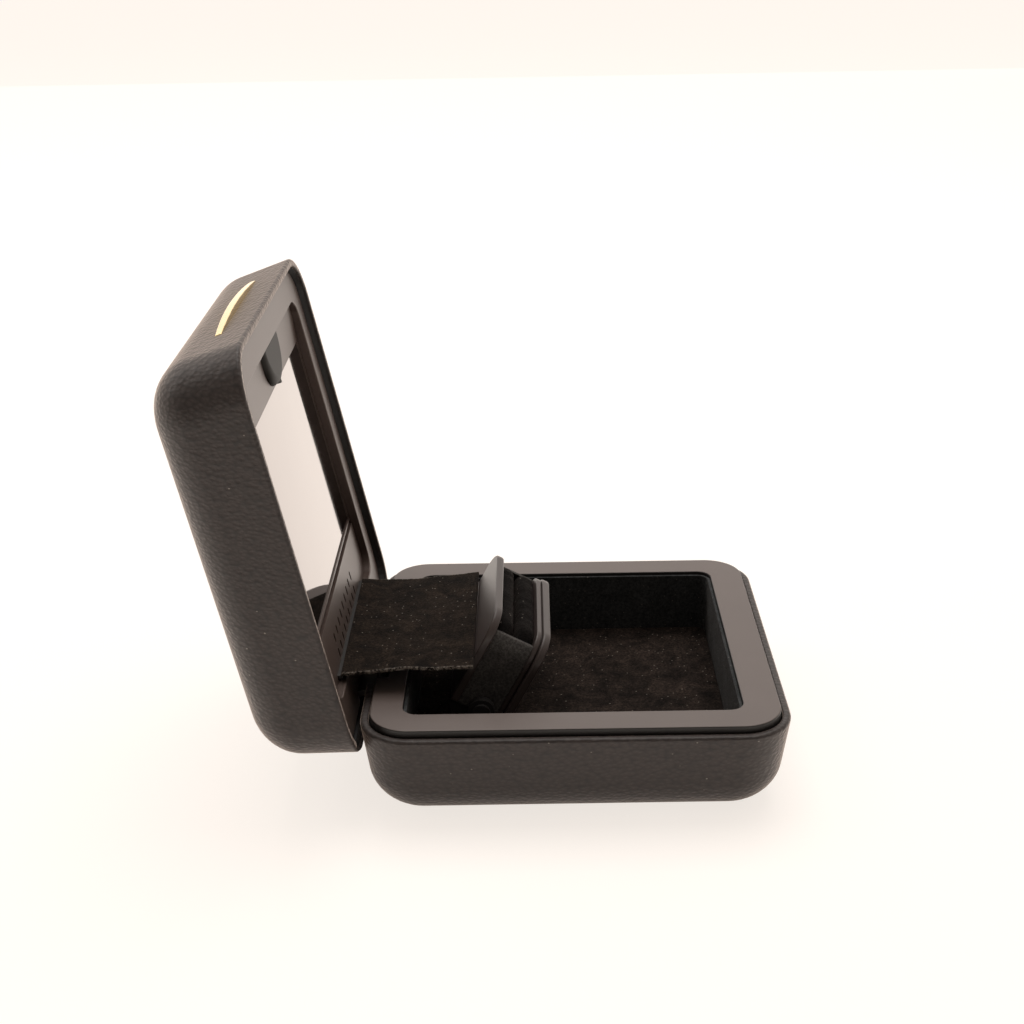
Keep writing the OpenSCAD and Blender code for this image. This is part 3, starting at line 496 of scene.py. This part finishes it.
def leather_wrap(name, rim_z, end_z):
    """One half's wrap: a box whose walls lean in from its rim to its rounded closed end."""
    inward = math.copysign(1, end_z - rim_z)
    wall_z = rim_z + inward * ROLL_R
    lean = abs(end_z - wall_z) * math.tan(WALL_SLOPE)
    wall_l, wall_w = (size - 2 * ROLL_R * math.tan(WALL_SLOPE) for size in (BOX_L, BOX_W))
    wrap = fresh_block(name, (-wall_l / 2, -wall_w / 2, min(wall_z, end_z)),
                       (wall_l / 2, wall_w / 2, max(wall_z, end_z)))
    bpy.ops.object.mode_set(mode="EDIT")
    pick("FACE", lambda middle, way: way.z * inward > 0.9)
    bpy.ops.transform.resize(value=(1 - 2 * lean / wall_l, 1 - 2 * lean / wall_w, 1),
                             center_override=(0, 0, end_z * MM))
    pick("EDGE", lambda middle, way: abs(way.z) > 0.9)
    bevel_picked(CORNER_R, CORNER_STEPS)
    pick("EDGE", lambda middle, way: abs(middle.z - end_z) < TINY)
    bevel_picked(EDGE_R * math.tan((math.pi / 2 - WALL_SLOPE) / 2), CORNER_STEPS)
    # The wrap rolls over the rim and is turned in beside the frame
    pick("FACE", lambda middle, way: way.z * inward < -0.9)
    inset_steps(quarter_round(ROLL_R, ROLL_R, 5) + [(RIM_W - ROLL_R - TURN_R, 0)]
                + quarter_round(TURN_R, TURN_R, 3, rolling_in=True))
    bpy.ops.mesh.extrude_region_move(
        TRANSFORM_OT_translate={"value": (0, 0, inward * TURN_IN * MM)})
    bpy.ops.mesh.delete(type="FACE")
    bpy.ops.object.mode_set(mode="OBJECT")
    skin = wrap.modifiers.new("thickness", "SOLIDIFY")
    skin.thickness = COVER_T * MM
    skin.offset = -1
    skin.use_even_offset = True
    apply_last(wrap)
    return wrap


def hinge_notches(rear_x, front_x, width, low_z):
    """Room for both hinges in the rear walls, as one solid."""
    first = fresh_block("notch", (rear_x, HINGE_Y - width / 2, low_z),
                        (front_x, HINGE_Y + width / 2, BOX_L))
    second = fresh_block("notch", (rear_x, -HINGE_Y - width / 2, low_z),
                         (front_x, -HINGE_Y + width / 2, BOX_L))
    combine(first, second, "UNION")
    return first


def hinge_cove():
    """What the lid leaves free round the hinge for the base's rear rim, which it swings round."""
    bpy.ops.object.select_all(action="DESELECT")
    bpy.ops.mesh.primitive_cylinder_add(vertices=CIRCLE_STEPS, radius=COVE_RADII[0] * MM,
                                        depth=2 * COVE_ENDS[0] * MM,
                                        location=(HINGE_X * MM, 0, HINGE_Z * MM),
                                        rotation=(math.pi / 2, 0, 0))
    cove = bpy.context.object
    bpy.ops.object.transform_apply(location=True, rotation=True, scale=True)
    bpy.ops.object.mode_set(mode="EDIT")
    for side in (-1, 1):
        pick("FACE", lambda middle, way: way.y * side > 0.9)
        for i in (1, 2):
            step = COVE_ENDS[i] - COVE_ENDS[i - 1]
            shrink = COVE_RADII[i] / COVE_RADII[i - 1]
            bpy.ops.mesh.extrude_region_move(
                TRANSFORM_OT_translate={"value": (0, side * step * MM, 0)})
            bpy.ops.transform.resize(value=(shrink, 1, shrink),
                                     center_override=(HINGE_X * MM, side * COVE_ENDS[i] * MM,
                                                      HINGE_Z * MM))
    bpy.ops.object.mode_set(mode="OBJECT")
    return cove


def build_leather():
    base = leather_wrap("base_leather", BASE_H, 0)
    combine(base, hinge_notches(-BOX_L, HINGE_X, NOTCH_W, HINGE_Z - KNUCKLE_R - MOVE_GAP))
    hand_over(base, "base", ["base_cover"], LEATHER)
    lid = leather_wrap("lid_leather", LID_Z, LID_Z + LID_H)
    combine(lid, hinge_cove())
    hand_over(lid, "lid", ["lid_cover"], LEATHER, OPEN_LID)


def build_frames():
    base = rounded_plan("base_surround", BOX_L - 2 * FRAME_IN, BOX_W - 2 * FRAME_IN,
                        CORNER_R - FRAME_IN, FRAME_LOW, FRAME_TOP)
    combine(base, rounded_plan("opening", OPEN_L, OPEN_W, TRAY_R, 0, BOX_L, OPEN_X))
    combine(base, hinge_notches(-BOX_L, HINGE_X + KNUCKLE_R + MOVE_GAP, NOTCH_W, 0))
    soften(base, FRAME_EDGE)
    hand_over(base, "base", ["base_frame"], FRAME_ABS_SHADED_SIDES)

    lid = rounded_plan("lid_surround", BOX_L - 2 * LID_IN, BOX_W - 2 * LID_IN,
                       CORNER_R - 0.75 * LID_IN, LID_FACE_Z, LID_BACK_Z)
    combine(lid, rounded_plan("opening", LID_OPEN_L, LID_OPEN_W, LID_OPEN_R, 0, BOX_L, LID_OPEN_X))
    combine(lid, hinge_notches(-BOX_L, HINGE_X + KNUCKLE_R + MOVE_GAP, HINGE_W, 0))
    combine(lid, hinge_cove())
    soften(lid, FRAME_EDGE)
    hand_over(lid, "lid", ["lid_frame"], LID_ABS, OPEN_LID)


# ---------------------------------------------------------------- tray
def build_tray():
    walls = rounded_plan("tray_walls", OPEN_L - FIT, OPEN_W - FIT, TRAY_R, TRAY_Z - FLOOR_T,
                         FRAME_TOP - WALL_DROP, OPEN_X)
    combine(walls, rounded_plan("hollow", OPEN_L - 2 * SUEDE_T, OPEN_W - 2 * SUEDE_T,
                                TRAY_R - SUEDE_T, 0, BOX_L, OPEN_X))
    soften(walls, 0.3)
    hand_over(walls, "base", ["tray_lining"], SUEDE_WALL_PAINTED_LIGHT)

    pad = rounded_plan("tray_pad", OPEN_L - 2 * SUEDE_T - 2 * FIT, OPEN_W - 2 * SUEDE_T - 2 * FIT,
                       TRAY_R - SUEDE_T, TRAY_Z - FLOOR_T, TRAY_Z, OPEN_X)
    soften(pad, 0.5)
    plump(pad, voxel=0.55, swell=0.35, lump=7)
    # The holder's bracket stands on the tub, through the pad
    reach = BRACKET_HALF + FOOT_FIT
    for side in (-1, 1):
        foot = sorted((side * (EAR_Y - FOOT_FIT), side * (EAR_Y + BRACKET_T + FOOT_FIT)))
        combine(pad, fresh_block("foot_room", (PIVOT_X - reach, foot[0], 0),
                                 (PIVOT_X + reach, foot[1], BOX_L)))
    hand_over(pad, "base", ["tray_floor"], SUEDE)


# ---------------------------------------------------------------- ring holder, built upright
def holder_plate(name, rear_x, front_x, width, top, radius, low=PLATE_LOW):
    """A plate across the holder, whose two upper corners are round."""
    plate = fresh_block(name, (rear_x, -width / 2, low), (front_x, width / 2, top))
    bpy.ops.object.mode_set(mode="EDIT")
    pick("EDGE", lambda middle, way: abs(way.x) > 0.9 and middle.z > top - TINY)
    bevel_picked(radius, 14)
    bpy.ops.object.mode_set(mode="OBJECT")
    return plate


def soft_block(name, low, high, corner, edge):
    """A foam block whose upper ends are round and whose long edges are rounder still."""
    block = fresh_block(name, low, high)
    bpy.ops.object.mode_set(mode="EDIT")
    pick("EDGE", lambda middle, way: abs(way.x) > 0.9 and middle.z > high[2] - TINY)
    bevel_picked(corner, 10)
    bpy.ops.object.mode_set(mode="OBJECT")
    soften(block, edge, 5)
    return block


def build_holder():
    back = holder_plate("holder_back_plate", -HOLDER_T / 2, -HOLDER_T / 2 + PLATE_T, HOLDER_W,
                        HOLDER_H + REAR_RISE, HOLDER_R)
    soften(back, PLATE_EDGE, 4)
    hand_over(back, "holder", ["holder_rear_plate"], HOLDER_ABS, STAND_HOLDER)

    face = holder_plate("holder_face_plate", HOLDER_T / 2 - PLATE_T, HOLDER_T / 2, HOLDER_W,
                        HOLDER_H, HOLDER_R)
    soften(face, PLATE_EDGE, 4)
    step_x = HOLDER_T / 2 - PLATE_T - GROOVE_W
    combine(face, holder_plate("neck", step_x, step_x + 0.4, HOLDER_W - 2 * GROOVE_IN,
                               HOLDER_H - GROOVE_DROP, HOLDER_R - 1), "UNION")
    step = holder_plate("step", SEAT_X1, step_x, HOLDER_W - 2 * STEP_IN, HOLDER_H - STEP_DROP,
                        HOLDER_R - STEP_IN)
    soften(step, 0.3)
    combine(face, step, "UNION")
    hand_over(face, "holder", ["holder_front_plate"], HOLDER_ABS, STAND_HOLDER)

    # The bands follow the plates' outline up round the corners, where their cut edge shows
    top, corner = HOLDER_H - STEP_DROP, HOLDER_R - 0.4
    bands = holder_plate("end_bands", SEAT_X0, SEAT_X1, 2 * BAND_Y, top, corner)
    combine(bands, holder_plate("inside", SEAT_X0 - 1, SEAT_X1 + 1, 2 * (BAND_Y - BAND_T),
                                top - BAND_T, corner - BAND_T, PLATE_LOW - 1))
    combine(bands, fresh_block("above", (SEAT_X0 - 1, -BAND_Y - 1, BAND_TOP),
                               (SEAT_X1 + 1, BAND_Y + 1, HOLDER_H)))
    soften(bands, 0.2)
    plump(bands, voxel=0.3, swell=0.12, lump=3)
    hand_over(bands, "holder", ["holder_side_bands"], SUEDE_BAND_PAINTED_LIGHT, STAND_HOLDER)

    middle = (SEAT_X0 + SEAT_X1) / 2
    for word, node, rear_x, front_x in (
            ("back", "ring_cushion_rear", SEAT_X0, middle - SLIT / 2),
            ("front", "ring_cushion_front", middle + SLIT / 2, SEAT_X1)):
        roll = soft_block("cushion_roll_" + word, (rear_x, -CUSHION_Y, CUSHION_Z),
                          (front_x, CUSHION_Y, HOLDER_H - CUSHION_DROP), CUSHION_R, CUSHION_EDGE)
        plump(roll, voxel=0.4, swell=0.5, lump=3)
        hand_over(roll, "holder", [node], SUEDE_CUSHION, STAND_HOLDER)


# ---------------------------------------------------------------- cloth flap
def build_flap():
    """The flap: suede cloth from the lid to the holder. Its near side bows up where it creases,
    and its far side sags and then rises to the holder."""
    near_bow, far_sag, ripple, fray = 0.7, 0.9, 0.3, 0.3
    run = FLAP_END - FLAP_START
    length, width = run.length, FLAP_FAR - FLAP_NEAR
    bpy.ops.object.select_all(action="DESELECT")
    # Two cells to the millimetre both ways
    bpy.ops.mesh.primitive_grid_add(x_subdivisions=62, y_subdivisions=108, size=1)
    flap = bpy.context.object
    flap.name = flap.data.name = "pull_cloth"
    for vertex in flap.data.vertices:
        along, across = vertex.co.x + 0.5, vertex.co.y + 0.5
        near = near_bow * math.exp(-((along - 0.42) / 0.22) ** 2)
        far = -far_sag * math.exp(-((along - 0.45) / 0.4) ** 2)
        wave = ripple * noise.noise(Vector((along * 4, across * 6, 0.3)))
        # It lies flat in the last eighth before both of its held ends
        held = min(1, 8 * min(along, 1 - along))
        rise = held * (near * (1 - across) + far * across + wave)
        # The cut edges wander a little
        wander = fray * noise.noise(Vector((along * 45, round(across) * 7, 1.7)))
        edge = max(0, abs(across - 0.5) - 0.47) / 0.03
        vertex.co = Vector((along * length, FLAP_NEAR + across * width + wander * edge, rise)) * MM
    skin = flap.modifiers.new("thickness", "SOLIDIFY")
    skin.thickness = FLAP_T * MM
    skin.offset = 0
    apply_last(flap)
    soften(flap, 0.15, 2)
    place = (Matrix.Translation(FLAP_START * MM)
             @ Matrix.Rotation(-math.atan2(run.z, run.x), 4, "Y"))
    hand_over(flap, "flap", ["pull_flap"], SUEDE_FLAP, place)


# ---------------------------------------------------------------- lamp in the lid
def build_lamp():
    """The lamp's housing: half a low dome that stands on the slope under the lid's frame."""
    edge_x = LID_OPEN_X + LID_OPEN_L / 2
    bpy.ops.object.select_all(action="DESELECT")
    middle_z = LAMP_Z + LAMP_H - LAMP_DISC / 2
    bpy.ops.mesh.primitive_cylinder_add(vertices=CIRCLE_STEPS, radius=LAMP_R * MM,
                                        depth=LAMP_DISC * MM,
                                        location=(edge_x * MM, 0, middle_z * MM))
    dome = bpy.context.object
    dome.name = dome.data.name = "lamp_dome"
    bpy.ops.object.transform_apply(location=True, rotation=True, scale=True)
    bpy.ops.object.mode_set(mode="EDIT")
    pick("FACE", lambda middle, way: way.z < -0.9)
    inset_steps(quarter_round(LAMP_FLANK, LAMP_H - LAMP_DISC, 10))
    bpy.ops.mesh.select_all(action="SELECT")
    bpy.ops.mesh.bisect(plane_co=((edge_x - LAMP_CUT) * MM, 0, 0), plane_no=(1, 0, 0),
                        use_fill=True, clear_outer=True)
    bpy.ops.object.mode_set(mode="OBJECT")
    hand_over(dome, "lid", ["lamp_housing"], LAMP_BLACK_AND_SHADE, OPEN_LID, 50)


# ---------------------------------------------------------------- gold thumb trim
def build_trim():
    """The trim: a bow whose straight side is towards the rim and whose face bows out."""
    pieces_along = 48
    trim = fresh_block("thumb_bow", (-TRIM_W / 2, 0, -TRIM_IN), (TRIM_W / 2, TRIM_H, TRIM_OUT))
    bpy.ops.object.mode_set(mode="EDIT")
    pick("EDGE", lambda middle, way: abs(way.x) > 0.9)
    bpy.ops.mesh.subdivide(number_cuts=pieces_along - 1)
    bpy.ops.object.mode_set(mode="OBJECT")
    for vertex in trim.data.vertices:
        bow = 1 - (vertex.co.x / (TRIM_W / 2 * MM)) ** 2
        if vertex.co.y > 0:
            vertex.co.y = (TRIM_END + (TRIM_H - TRIM_END) * bow) * MM
        if vertex.co.z > 0:
            vertex.co.z = (TRIM_TIP + (TRIM_OUT - TRIM_TIP) * bow) * MM
    soften(trim, 0.18)
    on_wall = (Matrix.Translation(Vector((BOX_L / 2 - TRIM_UP * math.tan(WALL_SLOPE), 0,
                                          LID_Z + TRIM_UP)) * MM)
               @ Matrix.Rotation(-WALL_SLOPE, 4, "Y")
               @ Matrix(((0, 0, 1, 0), (1, 0, 0, 0), (0, 1, 0, 0), (0, 0, 0, 1))))
    hand_over(trim, "lid", ["thumb_trim"], GOLD, OPEN_LID @ on_wall)


# ---------------------------------------------------------------- floor, light and camera
def seen_rays(tree):
    """1 for rays from the camera, reflections and glass, and 0 for those that light the box."""
    path = add(tree, "ShaderNodeLightPath")
    total = path.outputs["Is Camera Ray"]
    for kind in ("Is Glossy Ray", "Is Transmission Ray"):
        total = add(tree, "ShaderNodeMath", {0: total, 1: path.outputs[kind]},
                    operation="MAXIMUM").outputs[0]
    return total


def build_room():
    """A white floor and room, brighter behind the box, with three soft lamps."""
    floor_m, paper_glow = 8, 0.8
    bpy.ops.object.select_all(action="DESELECT")
    bpy.ops.mesh.primitive_plane_add(size=floor_m, location=(0, 0, 0))
    floor = bpy.context.object
    floor.name = "studio_floor"
    # White paper. What the camera and the reflections see of it is lifted to near white, and it
    # lights the box only as plain paper would.
    made, tree, shader = new_material("studio_paper", Roughness=0.9)
    path = add(tree, "ShaderNodeLightPath")
    paper = add(tree, "ShaderNodeMixRGB", {"Fac": path.outputs["Is Camera Ray"]},
                Color1=srgb("#fbf6f1"), Color2=srgb("#8a8784"))
    tree.links.new(paper.outputs["Color"], shader.inputs["Base Color"])
    glow = add(tree, "ShaderNodeMath", {0: seen_rays(tree)}, operation="MULTIPLY")
    glow.inputs[1].default_value = paper_glow
    shader.inputs["Emission Color"].default_value = srgb("#fff8f1")
    tree.links.new(glow.outputs[0], shader.inputs["Emission Strength"])
    floor.data.materials.append(made)

    world = bpy.data.worlds.new("studio_world")
    scene.world = world
    world.use_nodes = True
    tree = world.node_tree
    # Brighter behind the box than on the camera's side
    place = add(tree, "ShaderNodeTexCoord")
    parts = add(tree, "ShaderNodeSeparateXYZ", {"Vector": place.outputs["Generated"]})
    side = add(tree, "ShaderNodeMath", {0: parts.outputs["Y"]}, operation="MULTIPLY_ADD")
    side.inputs[1].default_value = 0.5
    side.inputs[2].default_value = 0.5
    tone = ramp(add(tree, "ShaderNodeValToRGB", {"Fac": side.outputs[0]}),
                (0.0, "#5a544e"), (0.45, "#bfb4aa"), (0.8, "#fff6ee"))
    path = add(tree, "ShaderNodeLightPath")
    room = add(tree, "ShaderNodeMixRGB",
               {"Fac": path.outputs["Is Camera Ray"], "Color1": tone.outputs["Color"]},
               Color2=srgb("#fef6f0"))
    tree.links.new(room.outputs["Color"], tree.nodes["Background"].inputs["Color"])

    # Each: its place in metres, its turns about X and Y in degrees, its width and its watts
    for name, place, (turn_x, turn_y), size, power in (
            ("softbox_behind", (-0.25, 1.1, 0.5), (-66, -5), 1.5, 2.6),
            ("softbox_above", (0.05, 0.35, 1.1), (-18, 0), 0.9, 9.0),
            ("softbox_left", (-0.9, 0.35, 0.7), (-20, -52), 0.6, 2.4)):
        light = bpy.data.lights.new(name, "AREA")
        light.shape = "SQUARE"
        light.size = size
        light.energy = power
        light.color = (1.0, 0.97, 0.94)
        lamp = bpy.data.objects.new(name, light)
        lamp.location = place
        lamp.rotation_euler = math.radians(turn_x), math.radians(turn_y), 0
        scene.collection.objects.link(lamp)


def build_camera():
    """The photograph's viewpoint, found by fitting the outlines of both halves of the box."""
    pitch, roll, yaw = math.radians(22.11), math.radians(-0.72), math.radians(-0.29)
    focal_px, centre_px, frame_px, sensor_mm = 1602.0, 541.0, 1024, 36
    place = Vector((-9.05, -363.05, 205.61)) * MM
    right = Vector((math.cos(yaw), math.sin(yaw), 0))
    ahead = Vector((-math.sin(yaw) * math.cos(pitch), math.cos(yaw) * math.cos(pitch),
                    -math.sin(pitch)))
    above = right.cross(ahead)
    right, above = (right * math.cos(roll) + above * math.sin(roll),
                    above * math.cos(roll) - right * math.sin(roll))
    camera = bpy.data.cameras.new("photo_camera")
    camera.sensor_width = sensor_mm
    camera.lens = focal_px / frame_px * sensor_mm
    camera.shift_x = (frame_px / 2 - centre_px) / frame_px
    stand = bpy.data.objects.new("photo_camera", camera)
    turn = Matrix((right, above, -ahead)).transposed().to_4x4()
    stand.matrix_world = Matrix.Translation(place) @ turn
    scene.collection.objects.link(stand)
    scene.camera = stand


build_leather()
build_frames()
build_tray()
build_holder()
build_flap()
build_trim()
build_lamp()
build_camera()
build_room()
scene.view_settings.view_transform = "Standard"
